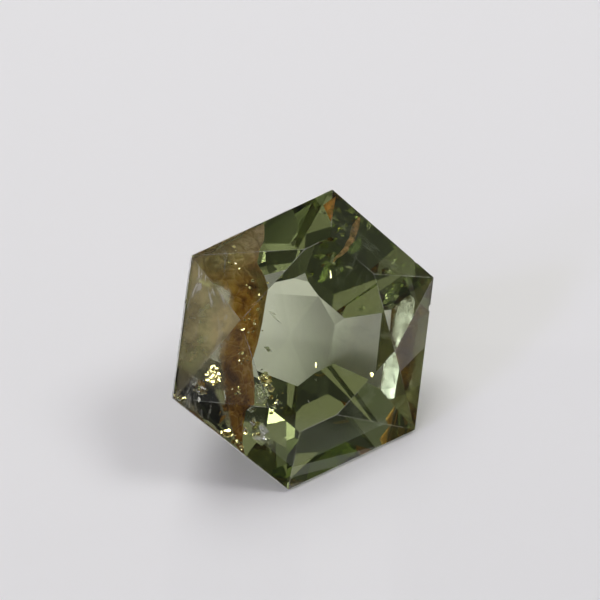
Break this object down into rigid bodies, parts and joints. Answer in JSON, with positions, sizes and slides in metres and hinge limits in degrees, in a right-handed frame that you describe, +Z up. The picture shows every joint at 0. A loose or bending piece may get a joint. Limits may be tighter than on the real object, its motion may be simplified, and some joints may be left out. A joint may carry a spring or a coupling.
{
  "type": "hexagon-cut faceted sapphire",
  "caption": "Loose grey-green sapphire cut as a hexagon with a flat table and step-cut pavilion, crossed by a rust-stained fracture.",
  "frame": {"origin": "centre of the bounding box's base, on the surface that the stone lies on", "axes": "+Z up; -Z is the outward normal of the pavilion facet that the stone lies on; +Y points away from the viewer of the picture, +X to the viewer's right"},
  "size_m": [0.0068, 0.0064, 0.0049],
  "materials": {
    "sapphire": "polished transparent grey-green corundum with a brown iron-stained fracture inside"
  },
  "bodies": {
    "root": {"sapphire": "sapphire"}
  },
  "joints": []
}
